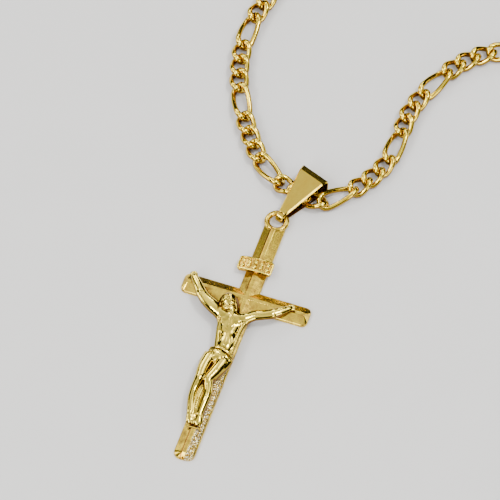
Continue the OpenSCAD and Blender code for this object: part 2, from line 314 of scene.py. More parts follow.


# Gold with patches of satin and polish, fine lines, and painted shade, a darker and warmer tone, in recesses
# and on steep sides
def makeGold(name):
    look = goldFinishes[name]
    material, tree, shader = newMaterial(name)
    shader["Metallic"].default_value = 1.0
    place = tree.add("ShaderNodeTexCoord").outputs["Object"]
    mottle = tree.add("ShaderNodeGroup", {
        "Vector": place, "Patch Size": look["patch"], "Grain Size": look["grain"],
    }, node_tree=mottleGroup).outputs
    lines = tree.first("ShaderNodeGroup", {
        "Vector": place, "Turn": look["turn"],
        "Line Width": look["lineWidth"], "Line Length": look["lineLength"],
    }, node_tree=scratchGroup)
    # Painted shade: a point attribute turns the colour towards the finish's shade colour
    paintedShade = tree.add("ShaderNodeAttribute", attribute_name="paintedShade").outputs["Fac"]
    colour = tree.mix(paintedShade, tree.mix(mottle["Patches"], look["light"], look["deep"]), look["shadeColour"])
    wear = tree.times(mottle["Patches"], sharedLook["patchWear"])
    worn = tree.maths("MULTIPLY_ADD", lines, sharedLook["lineWear"], wear)
    dullness = tree.ramp(worn, 0.0, 1.0, look["smooth"], look["dull"])
    height = tree.maths("MULTIPLY_ADD", lines, look["lineDepth"], mottle["Height"])
    if "frost" in look:
        frost = tree.add("ShaderNodeGroup", {
            "Vector": place, "Grain Size": frostAndPaintedLightLook["grain"]}, node_tree=frostAndPaintedLightGroup).outputs
        height = tree.maths("MULTIPLY_ADD", frost["Height"], look["frost"], height)
        dullness = tree.maths("MULTIPLY_ADD", frost["Mask"], frostAndPaintedLightLook["dull"], dullness)
        # Painted glints turn the colour pale, and painted shade turns it dark
        colour = tree.mix(frost["Painted Shade"], tree.mix(frost["Glints"], colour, frostAndPaintedLightLook["glintColour"]), look["shadeColour"])
    bump = tree.first("ShaderNodeBump", {"Height": height, "Distance": look["relief"] * mm, "Strength": 1.0})
    for socket, value in (("Base Color", colour), ("Roughness", dullness), ("Normal", bump)):
        tree.link(value, shader[socket])
    return material


golds = {name: makeGold(name) for name in goldFinishes}
print("materials:", sorted(golds))


# Chain: its solids say where each link lies, which way it points and how long it is
chainLook = {"solidWire": 0.8, "wire": 0.94, "endThickness": 1.18, "thickRange": (0.45, 0.85), "width": 3.7,
             "turn": 50.0, "longFrom": 3.0, "lift": 0.12, "cornerPoints": 8, "roundness": 0.999,
             "pointsRound": 26, "wireSides": 12, "sideFrom": 0.72, "sideShade": 1.5}


def linkPlaces(node):
    bm = bmesh.new()
    bm.from_mesh(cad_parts[node].data)
    bmesh.ops.remove_doubles(bm, verts=bm.verts, dist=1e-7)
    places = []
    for part in islands(bm):
        points = np.array([vert.co[:] for vert in part]) / mm
        middle = points.mean(0)
        along = np.linalg.svd(points - middle, full_matrices=False)[2][0]
        along = along * (1 if along[np.abs(along).argmax()] > 0 else -1)
        reach = (points - middle) @ along
        half = (reach.max() - reach.min()) / 2 - chainLook["solidWire"] / 2
        places.append((middle + along * (reach.max() + reach.min()) / 2, along, half))
    bm.free()
    return places


def makeLinkTree(material):
    look = chainLook
    tree = newGroup("figaroLinks", (
        "Wire Diameter", "Link Width", "Short Half Length", "Long Half Length", "End Turn", "End Thickness"))
    value = tree.inside
    wire = tree.first("GeometryNodeCurvePrimitiveCircle", {
        "Resolution": look["wireSides"], "Radius": tree.maths("DIVIDE", value["Wire Diameter"], 2.0)})
    bend = tree.maths("DIVIDE", tree.maths("SUBTRACT", value["Link Width"], value["Wire Diameter"]), 2.0)
    position = tree.first("GeometryNodeInputPosition")
    x = tree.add("ShaderNodeSeparateXYZ", {0: position}).outputs["X"]
    turned = tree.first("FunctionNodeAxesToRotation", {
        "Primary Axis": tree.named("along", "FLOAT_VECTOR"),
        "Secondary Axis": tree.named("up", "FLOAT_VECTOR"),
    }, primary_axis="X", secondary_axis="Z")
    isLong = tree.named("isLong", "BOOLEAN")
    isShort = tree.first("FunctionNodeBooleanMath", {0: isLong}, operation="NOT")
    both = tree.add("GeometryNodeJoinGeometry")
    for half, chosen in ((value["Short Half Length"], isShort), (value["Long Half Length"], isLong)):
        oval = tree.first("GeometryNodeCurvePrimitiveQuadrilateral", {
            "Width": tree.times(half, 2.0), "Height": tree.times(bend, 2.0)})
        rounded = tree.first("GeometryNodeFilletCurve", {
            "Curve": oval, "Count": look["cornerPoints"], "Radius": tree.times(bend, look["roundness"]),
        }, mode="POLY")
        even = tree.first("GeometryNodeResampleCurve", {
            "Curve": rounded, "Count": look["pointsRound"]}, mode="COUNT")
        angle = tree.times(tree.maths("DIVIDE", x, half), tree.times(value["End Turn"], -1.0))
        twisted = tree.first("ShaderNodeVectorRotate", {
            "Vector": position, "Angle": angle}, rotation_type="X_AXIS")
        shaped = tree.first("GeometryNodeSetPosition", {"Geometry": even, "Position": twisted})
        toEnd = tree.maths("DIVIDE", tree.maths("ABSOLUTE", x), half)
        swept = tree.first("GeometryNodeCurveToMesh", {
            "Curve": shaped, "Profile Curve": wire,
            "Scale": tree.ramp(toEnd, *look["thickRange"], 1.0, value["End Thickness"])})
        placed = tree.first("GeometryNodeInstanceOnPoints", {
            "Points": value["Geometry"], "Selection": chosen, "Instance": swept,
            "Rotation": turned, "Scale": tree.named("reach", "FLOAT_VECTOR")})
        tree.link(placed, both.inputs[0])
    tree.finish(both.outputs[0], material)
    return tree


def makeChain():
    look = chainLook
    places = [row for node in ("chain_left", "chain_right") for row in linkPlaces(node)]
    middles, alongs, halves = (np.array(column) for column in zip(*places))
    isLong = halves > look["longFrom"]
    short, long = float(np.median(halves[~isLong])), float(np.median(halves[isLong]))
    chain = newPiece("figaroChain", middles + (0, 0, look["lift"]), [])
    sides = np.cross((0, 0, 1), alongs)
    ups = np.cross(alongs, sides / np.linalg.norm(sides, axis=1, keepdims=True))
    reaches = np.ones((len(places), 3))
    reaches[:, 0] = halves / np.where(isLong, long, short)
    for name, kind, values in (("along", "FLOAT_VECTOR", alongs), ("up", "FLOAT_VECTOR", ups),
                               ("reach", "FLOAT_VECTOR", reaches), ("isLong", "BOOLEAN", isLong)):
        setAttribute(chain, name, kind, values)
    runGroup(chain, makeLinkTree(golds["goldWire"]), {
        "Wire Diameter": look["wire"] * mm, "Link Width": look["width"] * mm,
        "Short Half Length": short * mm, "Long Half Length": long * mm,
        "End Turn": math.radians(look["turn"]), "End Thickness": look["endThickness"]})
    turnOutwards(chain)
    chain.data.shade_smooth()
    # Painted shade: the wires' steep sides darker
    paintShadeOnSides(chain, look)
    print("chain:", len(places), "links,", int(isLong.sum()), "of them long")
    dress(chain, golds["goldWire"], "chain", "chain_left", "chain_right")


makeChain()

# Cross: two beams with a roof section and sloping, rounded ends, and an eyelet on the stem
crossLook = {"beamWidth": 3.9, "sideHeight": 0.55, "ridgeFlat": 0.6, "endSlope": 0.9, "ridgeHeight": 1.4,
             "footCorner": 1.3, "barCorner": 1.0, "ridgeCorner": 0.12, "cornerSteps": 8,
             "rimSoft": 0.16, "ridgeSoft": 0.07, "softSteps": 4, "eyeRadius": 1.78, "eyeWire": 0.51,
             "solidWire": 0.42, "eyeHeight": 0.95, "holeArc": (2, 357, 71), "ringSteps": 72, "wireSteps": 20,
             "stemPast": 0.9, "notchWidth": 0.6, "notchDepth": 0.4, "notchLow": 0.35, "smoothAngle": 24}


# Faces between rings of equally many points, one ring after the other
def ringFaces(rings, count, closed=False):
    return [(k * count + i, k * count + (i + 1) % count,
             (k + 1) % rings * count + (i + 1) % count, (k + 1) % rings * count + i)
            for k in range(rings if closed else rings - 1) for i in range(count)]


# Rings of points with a cap at each end
def newTube(name, points, count):
    caps = [list(range(count)), list(range(len(points) - count, len(points)))]
    return newPiece(name, points, ringFaces(len(points) // count, count) + caps)


def prism(name, outline, z0, z1):
    return newTube(name, [(x, y, z) for z in (z0, z1) for x, y in outline], len(outline))


def arc(centre, radius, start, end, steps):
    angles = [math.radians(start + (end - start) * i / steps) for i in range(steps + 1)]
    return [(centre[0] + radius * math.cos(a), centre[1] + radius * math.sin(a)) for a in angles]


def sineCosine(degrees):
    return math.sin(math.radians(degrees)), math.cos(math.radians(degrees))


# A polyline's corner drawn round, from a point before it to a point after it
def softCorner(before, corner, after, reach, steps):
    corner = Vector(corner)
    start = corner + (Vector(before) - corner).normalized() * reach
    end = corner + (Vector(after) - corner).normalized() * reach
    return [tuple(start.lerp(corner, t).lerp(corner.lerp(end, t), t))
            for t in (i / steps for i in range(steps + 1))]


# Rings of a beam: how far each lies inside the foot's outline, and its height
def beamProfile():
    look = crossLook
    half, flat = look["beamWidth"] / 2, look["ridgeFlat"] / 2
    bottom, rim = (0, 0), (0, look["sideHeight"])
    ridge, middle = (half - flat, look["ridgeHeight"]), (half, look["ridgeHeight"])
    return [bottom, *softCorner(bottom, rim, ridge, look["rimSoft"], look["softSteps"]),
            *softCorner(rim, ridge, middle, look["ridgeSoft"], look["softSteps"])]


# A beam along Y, or along X when turned, with its own corner radius and slope at each end
def roofBeam(name, ends, corners, slopes, turned):
    look = crossLook
    half, run = look["beamWidth"] / 2, (look["beamWidth"] - look["ridgeFlat"]) / 2
    points = []
    for inside, z in beamProfile():
        far = min(1, inside / run)
        x = half - inside
        for sideX, end, start in ((1, 0, 270), (1, 1, 0), (-1, 1, 90), (-1, 0, 180)):
            inwards = -1 if end else 1
            radius = corners[end] * (1 - far) + look["ridgeCorner"] * far
            middle = (sideX * (x - radius), ends[end] + inwards * (slopes[end] * far + radius))
            points += [(px, py, z) for px, py in arc(middle, radius, start, start + 90, look["cornerSteps"])]
    if turned:
        points = [(y, -x, z) for x, y, z in points]
    return newTube(name, points, 4 * (look["cornerSteps"] + 1))


# Points and faces of a ring of round wire
def wireRing(radius, wire, steps, sides):
    points = []
    for i in range(steps):
        for j in range(sides):
            a, b = 2 * math.pi * i / steps, 2 * math.pi * j / sides
            reach = radius + wire * math.cos(b)
            points.append((reach * math.cos(a), reach * math.sin(a), wire * math.sin(b)))
    return points, ringFaces(steps, sides, True)


# The middle of the eyelet's hole, on the solid's own ring
def eyeletY():
    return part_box("cross")[1].y / mm - crossLook["eyeRadius"] - crossLook["solidWire"]


def makeCross():
    look = crossLook
    low, high = (np.array(corner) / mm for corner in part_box("cross"))
    eyeY = eyeletY()
    above = 2 * look["ridgeHeight"]
    cross = roofBeam("castCross", (low[1], eyeY - look["stemPast"]),
                     (look["footCorner"], look["ridgeCorner"]), (look["endSlope"], 0), False)
    hole = arc((0, eyeY), look["eyeRadius"], *look["holeArc"])
    addBoolean(cross, prism("eyeHole", hole, -1, above), "DIFFERENCE")
    wide, deep = look["notchWidth"] / 2, look["notchDepth"]
    notch = [(-wide, low[1] - 1), (wide, low[1] - 1), (wide, low[1]), (0, low[1] + deep), (-wide, low[1])]
    addBoolean(cross, prism("footNotch", notch, look["notchLow"], above), "DIFFERENCE")
    crossbar = roofBeam("crossbar", (low[0], high[0]),
                        (look["barCorner"],) * 2, (look["endSlope"],) * 2, True)
    addBoolean(cross, crossbar, "UNION")
    points, faces = wireRing(look["eyeRadius"], look["eyeWire"], look["ringSteps"], look["wireSteps"])
    ring = newPiece("eyelet", [(x, y + eyeY, z + look["eyeHeight"]) for x, y, z in points], faces)
    addBoolean(cross, ring, "UNION")
    turnOutwards(cross)
    shadeSmooth(cross, look["smoothAngle"])
    dress(cross, golds["goldFacets"], "cross", "cross")


makeCross()

# Plaque: a thin tile bent over the ridge, with a raised rim and a row of grains. Its cast surface
# has two layers of bumps, each with how much finer it is, its share and its depth in the noise.
plaqueLook = {"width": 6.7, "height": 2.9, "thick": 0.75, "bend": 10.0, "middle": (-0.1, 6.7), "shift": -0.4,
              "turn": 1.5, "seat": 1.46, "corner": 0.55, "rim": 0.38, "rimSoft": 0.07, "rimLean": 0.26,
              "fieldDepth": 0.26, "soft": 0.16, "fieldShade": 0.85, "sideFrom": 0.62, "sideShade": 1.4,
              "cast": 0.03, "castSize": 0.24, "castOnRim": 0.35,
              "castLayers": ((1.0, 1.0, 4.2), (2.3, 0.5, 8.1)), "columns": 90, "rows": 44, "smoothAngle": 50}
grainLook = {"pairs": 5, "length": 1.1, "width": 0.8, "lean": 20.0, "offsets": (0.26, 0.15), "sink": 0.02,
             "segments": 12, "rings": 8}


# Onto the bent tile: x and y across it, and a height above its upper face
def bentPoint(x, y, height):
    look = plaqueLook
    radius = look["bend"] + look["thick"] + height
    lean = (x + look["shift"]) / (look["bend"] + look["thick"])
    sine, cosine = sineCosine(look["turn"])
    px, pz = radius * math.sin(lean), look["seat"] - look["bend"] + radius * math.cos(lean)
    return look["middle"][0] + px * cosine - y * sine, look["middle"][1] + px * sine + y * cosine, pz


# A place on the tile with its corners drawn in, and how far it lies inside the edge
def tilePoint(u, v):
    width, height, r = (plaqueLook[name] for name in ("width", "height", "corner"))
    x, y = u * width / 2, v * height / 2
    dx, dy = abs(x) - width / 2 + r, abs(y) - height / 2 + r
    if dx > 0 and dy > 0:
        shrink = max(dx, dy) / math.hypot(dx, dy)
        x -= math.copysign(dx * (1 - shrink), x)
        y -= math.copysign(dy * (1 - shrink), y)
    return x, y, min(width * (1 - abs(u)), height * (1 - abs(v))) / 2


def smoothStep(low, high, value):
    t = min(1.0, max(0.0, (value - low) / (high - low)))
    return t * t * (3 - 2 * t)


def castBump(x, y):
    size = plaqueLook["castSize"]
    return sum(share * noise.noise(Vector((x / size * finer, y / size * finer, depth)))
               for finer, share, depth in plaqueLook["castLayers"])


# Height of the tile's upper face: a rounded edge, a leaning rim and a sunk, grainy field
def tileHeight(x, y, inward, sunk):
    look = plaqueLook
    edge = max(0.0, 1 - inward / look["soft"])
    return (-look["soft"] * (1 - math.sqrt(max(0.0, 1 - edge * edge)))
            - look["fieldDepth"] * sunk
            - look["rimLean"] * max(0.0, y - look["height"] / 2 + look["rim"]) * (1 - sunk)
            + look["cast"] * castBump(x, y) * (look["castOnRim"] + (1 - look["castOnRim"]) * sunk))


def plaqueTile():
    look = plaqueLook
    columns, rows = look["columns"], look["rows"]
    places = [tilePoint(2 * i / columns - 1, 2 * j / rows - 1)
              for j in range(rows + 1) for i in range(columns + 1)]
    sunks = [smoothStep(look["rim"] - look["rimSoft"], look["rim"] + look["rimSoft"], place[2])
             for place in places]
    points = [bentPoint(place[0], place[1], tileHeight(*place, sunk)) for place, sunk in zip(places, sunks)]
    points += [bentPoint(x, y, -look["thick"]) for x, y, inward in places]
    wide, layer, faces = columns + 1, len(places), []
    for j in range(rows):
        for i in range(columns):
            a = j * wide + i
            faces.append((a, a + 1, a + wide + 1, a + wide))
            faces.append((layer + a, layer + a + wide, layer + a + wide + 1, layer + a + 1))
    border = (list(range(columns)) + [j * wide + columns for j in range(rows)]
              + [rows * wide + i for i in range(columns, 0, -1)] + [j * wide for j in range(rows, 0, -1)])
    faces += [(a, b, layer + b, layer + a) for a, b in zip(border, border[1:] + border[:1])]
    tile = newPiece("bentPlaque", points, faces)
    # Painted shade: the sunk field darker than the rim
    setAttribute(tile, "paintedShade", "FLOAT", [look["fieldShade"] * sunk for sunk in sunks] + [0.0] * layer)
    return tile


def makeGrainTree(material):
    tree = newGroup("grainRow", ("Grain Length", "Grain Width", "Lean"))
    value = tree.inside
    grain = tree.first("GeometryNodeMeshUVSphere", {
        "Segments": grainLook["segments"], "Rings": grainLook["rings"], "Radius": 0.5})
    lean = tree.times(tree.named("side", "FLOAT"), value["Lean"])
    size = tree.first("ShaderNodeCombineXYZ", {
        "X": value["Grain Width"], "Y": value["Grain Length"], "Z": value["Grain Width"]})
    placed = tree.first("GeometryNodeInstanceOnPoints", {
        "Points": value["Geometry"], "Instance": grain,
        "Rotation": tree.first("ShaderNodeCombineXYZ", {"Z": lean}), "Scale": size})
    tree.finish(placed, material)
    return tree


def plaqueGrains():
    look = plaqueLook
    row, field = look["width"] - 2 * look["rim"], look["height"] - 2 * look["rim"]
    points, sides = [], [-1, 1] * grainLook["pairs"]
    for i, side in enumerate(sides):
        pair = i // 2
        x = row * ((pair + 0.5) / grainLook["pairs"] - 0.5)
        y = side * field * grainLook["offsets"][pair % 2]
        points.append(bentPoint(x, y, -look["fieldDepth"] - grainLook["sink"]))
    grains = newPiece("grains", points, [])
    setAttribute(grains, "side", "FLOAT", sides)
    return runGroup(grains, makeGrainTree(golds["goldCast"]), {
        "Grain Length": grainLook["length"] * mm, "Grain Width": grainLook["width"] * mm,
        "Lean": math.radians(grainLook["lean"])})


def makePlaque():
    plaque, grains = plaqueTile(), plaqueGrains()
    edit(plaque, lambda bm: bm.from_mesh(grains.data))
    bpy.data.objects.remove(grains)
    # Painted shade on the steep sides, added to that of the sunk field
    paintShadeOnSides(plaque, plaqueLook)
    shadeSmooth(plaque, plaqueLook["smoothAngle"])
    dress(plaque, golds["goldCast"], "plaque", "plaque")


makePlaque()

# Bail: a strip folded into a closed strap, wide at its two folds and narrow in the eyelet
bailLook = {"strip": 0.42, "height": 4.15, "foldRadius": 1.1, "foldY": 8.4, "hookY": -0.55, "hookInside": 0.6,
            "wide": 6.0, "narrow": 1.55, "flareFrom": -0.2, "lean": 20.3, "edgeCut": 0.24, "steps": 14,
            "foldFlat": 31, "straight": (0.03, 0.06, 0.2, 0.4, 0.6, 0.8, 0.935, 0.95, 0.965),
            "creaseDepth": 0.16, "insideShade": 0.85, "shadeBelow": 1.0, "smoothAngle": 35}


# Side outline of a band pulled tight round the hook and the two folds
def strap(inset):
    look = bailLook
    hook = look["hookInside"] + look["strip"]
    circles = [(look["hookY"], hook, hook), (look["foldY"], look["foldRadius"], look["foldRadius"]),
               (look["foldY"], look["height"] - look["foldRadius"], look["foldRadius"])]
    turns = []
    for (y1, z1, r1), (y2, z2, r2) in zip(circles, circles[1:] + circles[:1]):
        facing = math.atan2(z2 - z1, y2 - y1) - math.acos((r1 - r2) / math.hypot(y2 - y1, z2 - z1))
        turns.append(math.degrees(facing))
    arcs = []
    for i, (y, z, r) in enumerate(circles):
        end = turns[i] if turns[i] > turns[i - 1] else turns[i] + 360
        topFold = i == 2
        arcs.append(arc((y, z), r - inset, turns[i - 1], look["foldFlat"] if topFold else end, look["steps"]))
        if topFold:
            arcs[-1] += arc((y, z), r - inset, end, end + 1, 1)[:1]
    outline = []
    for first, second in zip(arcs, arcs[1:] + arcs[:1]):
        a, b = Vector(first[-1]), Vector(second[0])
        outline += first + [tuple(a.lerp(b, t)) for t in look["straight"]]
    return outline


def makeBail():
    look = bailLook
    outer, below, inner = (strap(inset) for inset in (0, look["edgeCut"], look["strip"]))
    high = max(y for y, z in outer)
    sine, cosine = sineCosine(look["lean"])
    hookX, hookY = crossLook["eyeRadius"] * sine, eyeletY() + crossLook["eyeRadius"] * cosine
    crease = len(outer) - 2
    outer[crease] = (outer[crease][0], outer[crease][1] - look["creaseDepth"])
    points, paintedShade = [], []
    for outline, side, back in ((outer, -1, look["edgeCut"]), (outer, 1, look["edgeCut"]), (below, 1, 0),
                                (inner, 1, 0), (inner, -1, 0), (below, -1, 0)):
        for y, z in outline:
            flare = max(0, (y - look["flareFrom"]) / (high - look["flareFrom"]))
            x = side * ((look["narrow"] + (look["wide"] - look["narrow"]) * flare) / 2 - back)
            points.append((hookX + x * cosine + y * sine, hookY - x * sine + y * cosine, z))
            # Painted shade: the inside of the strap and its lower part darker
            paintedShade.append(look["insideShade"] if outline is inner or z < look["shadeBelow"] else 0.0)
    count = len(outer)
    # Painted shade: the crease darkest
    paintedShade[crease] = paintedShade[count + crease] = 1.0
    bail = newPiece("strapBail", points, ringFaces(6, count, True))
    setAttribute(bail, "paintedShade", "FLOAT", paintedShade)
    turnOutwards(bail)
    shadeSmooth(bail, look["smoothAngle"])
    dress(bail, golds["goldPlate"], "bail", "bail")


makeBail()

# Clasp: one plain rounded body with a ring at each end, where the solid lies
claspLook = {"bodyHalf": 1.65, "bodyRadius": 1.9, "bodyThick": 1.6, "endSteps": 24, "edge": 0.45,
             "edgeSteps": 5, "edgeAngle": 50, "ringRadius": 1.15, "ringTurn": 35.0, "wire": 0.4,
             "ringSteps": 40, "wireSteps": 14, "smoothAngle": 40}


def makeClasp():
    look = claspLook
    corners = np.array([v.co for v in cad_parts["clasp"].data.vertices]) / mm
    middle = (corners.max(0) + corners.min(0)) / 2
    flat = corners[:, :2] - middle[:2]
    along = np.linalg.svd(flat, full_matrices=False)[2][0]
    reach = (flat @ along).max() - look["ringRadius"] - look["wire"]
    plan = (arc((look["bodyHalf"], 0), look["bodyRadius"], -90, 90, look["endSteps"])
            + arc((-look["bodyHalf"], 0), look["bodyRadius"], 90, 270, look["endSteps"]))
    clasp = prism("plainClasp", plan, -look["bodyThick"] / 2, look["bodyThick"] / 2)
    bevel = clasp.modifiers.new("edges", "BEVEL")
    bevel.width = look["edge"] * mm
    bevel.segments = look["edgeSteps"]
    bevel.limit_method = "ANGLE"
    bevel.angle_limit = math.radians(look["edgeAngle"])
    settle(clasp)
    for side in (-1, 1):
        sine, cosine = sineCosine(-side * look["ringTurn"])
        points, faces = wireRing(look["ringRadius"], look["wire"], look["ringSteps"], look["wireSteps"])
        points = [(side * reach + x, y * cosine - z * sine, y * sine + z * cosine) for x, y, z in points]
        addBoolean(clasp, newPiece("ring", points, faces), "UNION")
    turn = Matrix(((along[0], -along[1], 0, middle[0] * mm), (along[1], along[0], 0, middle[1] * mm),
                   (0, 0, 1, middle[2] * mm), (0, 0, 0, 1)))
    clasp.data.transform(turn)
    turnOutwards(clasp)
    shadeSmooth(clasp, look["smoothAngle"])
    dress(clasp, golds["goldWire"], "clasp", "clasp")


makeClasp()

# Figure: rounded forms and grooves that blend into one cast body. A row starts with how softly it
# blends in, in millimetres, and below zero the form is cut away. A point of four numbers is one of
# a limb, with its radius, and six are the middle and the half sizes of a ball.
figureLook = {"voxel": 0.066, "quickVoxel": 0.1, "low": (-11.8, -29.4, 1.0), "high": (10.4, 3.2, 4.5),
              "seat": 0.06, "back": 1.15, "far": 0.9, "headMiddle": (-2.15, -3.3, 2.54), "headSize": 1.16,
              "headBow": 28.0, "headTilt": 22.0, "headYaw": -8.0, "hairStrands": 6, "beardStrands": 5,
              "armFlat": 1.3, "handSize": 1.2, "toeMiddles": (-1.02, 0.4), "toeStep": 0.26,
              "keepFaces": 0.7, "fewestPoints": 100, "sideFrom": 0.68, "sideShade": 1.9,
              "shadeReach": (0.22, 0.5), "shadeFrom": 1.15, "shadeShare": 0.5, "hairShade": 0.4,
              "stepShadow": 0.5, "stepShadowFrom": -28.5}

# Each wrist with its turn in degrees, and 1 or -1 for the hand's side
wrists = (((-9.75, 0.5, 2.1), 40, 1), ((8.0, -0.4, 2.1), -50, -1))

torsoForms = [
    (0.5, (-0.75, -7, 2.25, 2.05, 2.6, 1)),
    (0.5, (-0.1, -10.5, 2.25, 1.6, 2.6, 0.95)),
    (0.5, (-3, -5.2, 2.45, 0.95), (-0.9, -5.5, 2.4, 0.9), (1.4, -4.9, 2.45, 0.85)),
    (0.22, (-1.95, -6.2, 2.75, 1.25, 1.15, 0.52)),
    (0.22, (0.35, -6, 2.75, 1.2, 1.15, 0.52)),
    (0.2, (2, -4.9, 2.3, 0.55), (1.6, -7, 2.4, 0.42), (1.45, -9, 2.3, 0.4), (1.4, -12.8, 2.1, 0.42)),
    (0.2, (-3.6, -5.2, 2.4, 0.6), (-2.6, -7, 2.45, 0.45), (-2.2, -9, 2.35, 0.42), (-1.3, -12.6, 2.1, 0.5)),
    (0.35, (-0.9, -4.7, 2.4, 0.8), (-1.6, -4, 2.6, 0.75)),
    (-0.25, (-0.8, -5.6, 3.52, 0.28), (-0.72, -6.6, 3.54, 0.3), (-0.55, -7.8, 3.5, 0.28)),
    (-0.2, (-3.3, -6.2, 3, 0.18), (-2.1, -7.3, 3.36, 0.22), (-0.6, -8.2, 3.46, 0.22)),
    (-0.2, (1.5, -6, 3, 0.18), (0.5, -7.2, 3.36, 0.22), (-0.45, -8.2, 3.46, 0.22)),
    (-0.15, (-2.75, -6.6, 3, 0.16), (-2.05, -8.2, 3.05, 0.16), (-1.75, -10, 2.95, 0.14)),
    (-0.12, (1.95, -5.3, 2.95, 0.2), (1.35, -6.9, 3.15, 0.24), (1.05, -8.6, 3.1, 0.24),
     (1.3, -10.4, 2.85, 0.2)),
    (-0.12, (-0.95, -8.6, 3.35, 0.14), (-1.2, -9.3, 3.28, 0.2), (-1.3, -10.3, 3.1, 0.18)),
    (-0.14, (-0.2, -8.5, 3.38, 0.12), (0.5, -9.4, 3.28, 0.16), (0.95, -10.6, 3.1, 0.16)),
    (-0.12, (-0.55, -8.8, 3.32, 0.1), (-0.25, -10.4, 3.28, 0.12), (-0.05, -11.9, 3.26, 0.1)),
    (-0.08, (-0.1, -11.6, 3.22, 0.17, 0.17, 0.2)),
    (-0.08, (-2.1, -10.6, 2.8, 0.12), (-1.4, -10.9, 3.05, 0.1), (-0.8, -10.9, 3.2, 0.06)),
    (-0.08, (-2, -11.4, 2.8, 0.12), (-1.3, -11.6, 3.05, 0.1), (-0.7, -11.5, 3.2, 0.06)),
    (-0.12, (0.95, -7.9, 3.15, 0.1), (0.25, -8.4, 3.32, 0.1)),
    (-0.12, (-2, -8.3, 3.1, 0.1), (-1.3, -8.8, 3.3, 0.1)),
]

armForms = [
    (0.4, (-3, -5.3, 2.5, 1.2), (-4.7, -4.35, 2.5, 1.28), (-6.4, -3.4, 2.45, 1.14), (-7.6, -2.4, 2.4, 1)),
    (0.2, (-7.5, -2.5, 2.4, 0.98), (-8.7, -1, 2.35, 0.88), (-9.9, 0.5, 2.15, 0.68)),
    (0.4, (1.5, -5, 2.5, 1.1), (2.8, -3.85, 2.5, 1.02), (4.3, -3.15, 2.45, 0.94), (5.7, -2.4, 2.4, 0.97)),
    (0.2, (5.6, -2.45, 2.4, 0.94), (6.9, -1.45, 2.35, 0.84), (8, -0.45, 2.15, 0.62)),
    (-0.1, (-6.9, -2.2, 3.2, 0.08), (-7.9, -2.3, 3.15, 0.1)),
]

clothForms = [
    (0.45, (-0.4, -14.2, 2.3, 2.2, 1.5, 1.25)),
    (0.3, (-1.9, -14.6, 2.45, 1.2), (-2.2, -17, 2.6, 1.12), (-2.15, -19.3, 2.75, 0.92)),
    (0.3, (0.7, -14.8, 2.45, 1.25), (0.3, -16.8, 2.65, 1.2), (-0.5, -19.1, 2.85, 0.95)),
    (0.25, (1.7, -14.4, 2.5, 0.7), (1.2, -16.4, 2.5, 0.6), (0.4, -18.6, 2.6, 0.5)),
    (0.1, (-2.2, -12.75, 2.5, 0.32), (-1, -12.5, 3.1, 0.3), (0.6, -12.75, 3.15, 0.3),
     (1.85, -13.3, 2.5, 0.32)),
    (0.12, (-2.2, -13.4, 2.8, 0.34), (-0.8, -13.4, 3.2, 0.46), (0.9, -13.9, 3.1, 0.5), (2, -14.3, 2.5, 0.4)),
    (-0.06, (-1.6, -12.95, 3.4, 0.08), (0.3, -13.15, 3.52, 0.1), (1.9, -13.75, 3, 0.1)),
    (-0.08, (-2.4, -12.35, 2.9, 0.12), (-0.8, -12.05, 3.3, 0.12), (1.6, -12.75, 2.9, 0.12)),
    (0.1, (-1.5, -13.7, 3.25, 0.22), (-1.2, -14.7, 3.45, 0.16)),
    (0.1, (-2, -13.7, 3.1, 0.2), (-2.1, -15, 3.35, 0.14)),
    (-0.06, (-0.9, -14.2, 3.6, 0.08), (-1.6, -15.4, 3.65, 0.08)),
    (-0.06, (0.2, -14.5, 3.75, 0.1), (1.5, -15.1, 3.3, 0.1)),
    (0.1, (-2.75, -14, 2.6, 0.36), (-3.05, -15.8, 2.4, 0.38), (-3, -17.5, 2.2, 0.3)),
    (-0.1, (-0.75, -15.6, 3.8, 0.12), (-1, -16.8, 3.75, 0.28), (-1.3, -18.2, 3.75, 0.26),
     (-1.6, -19.4, 3.8, 0.1)),
    (-0.06, (-2.7, -19.8, 3.2, 0.08), (-1.7, -19.7, 3.7, 0.08), (-0.3, -19.6, 3.7, 0.08)),
]

legForms = [
    (0.2, (-2.15, -19.5, 2.8, 0.9), (-2.35, -21.6, 2.45, 0.74), (-2.2, -23.6, 2.2, 0.74),
     (-1.6, -26, 2, 0.66)),
    (0.2, (-0.45, -19.4, 2.85, 0.9), (0.2, -21.4, 2.55, 0.84), (0.25, -23.4, 2.3, 0.8), (0.2, -26, 2, 0.64)),
    (0.25, (-2.35, -22.2, 1.6, 0.6), (-1.9, -25.5, 1.5, 0.6)),
    (0.25, (0.45, -22.2, 1.7, 0.6), (0.4, -25.5, 1.6, 0.6)),
    (0.2, (-1, -22.8, 2.1, 1.3, 4.2, 0.5)),
    (0.12, (-0.95, -21, 2.5, 0.2), (-1, -23.2, 2.6, 0.22), (-0.9, -25.2, 2.4, 0.16)),
    (0.12, (-2.1, -19.9, 3.35, 0.36, 0.5, 0.28)),
    (0.12, (-0.5, -19.8, 3.35, 0.38, 0.5, 0.28)),
    (-0.06, (-0.3, -20.6, 3.5, 0.08), (0.35, -22.3, 3.3, 0.12), (0.1, -24.6, 3, 0.08)),
    (0.15, (-1.6, -25.8, 1.95, 0.6), (-1.45, -26.8, 1.9, 0.6), (-1.25, -27.7, 1.7, 0.5)),
    (0.15, (0.2, -25.8, 1.95, 0.6), (0.35, -26.8, 1.9, 0.62), (0.5, -27.7, 1.7, 0.5)),
    (0.2, (-1.1, -27.3, 1.75, 0.8, 1.15, 0.6)),
    (0.2, (0.35, -27.3, 1.75, 0.95, 1.15, 0.6)),
    (0.15, (-0.65, -25.6, 2, 0.45), (-0.55, -27.2, 1.7, 0.4)),
    (-0.08, (-0.55, -26.8, 2.4, 0.07), (-0.45, -28.4, 2.15, 0.1)),
    (0.06, (-1.6, -28.75, 1.45, 0.16), (1.3, -28.75, 1.45, 0.16)),
]
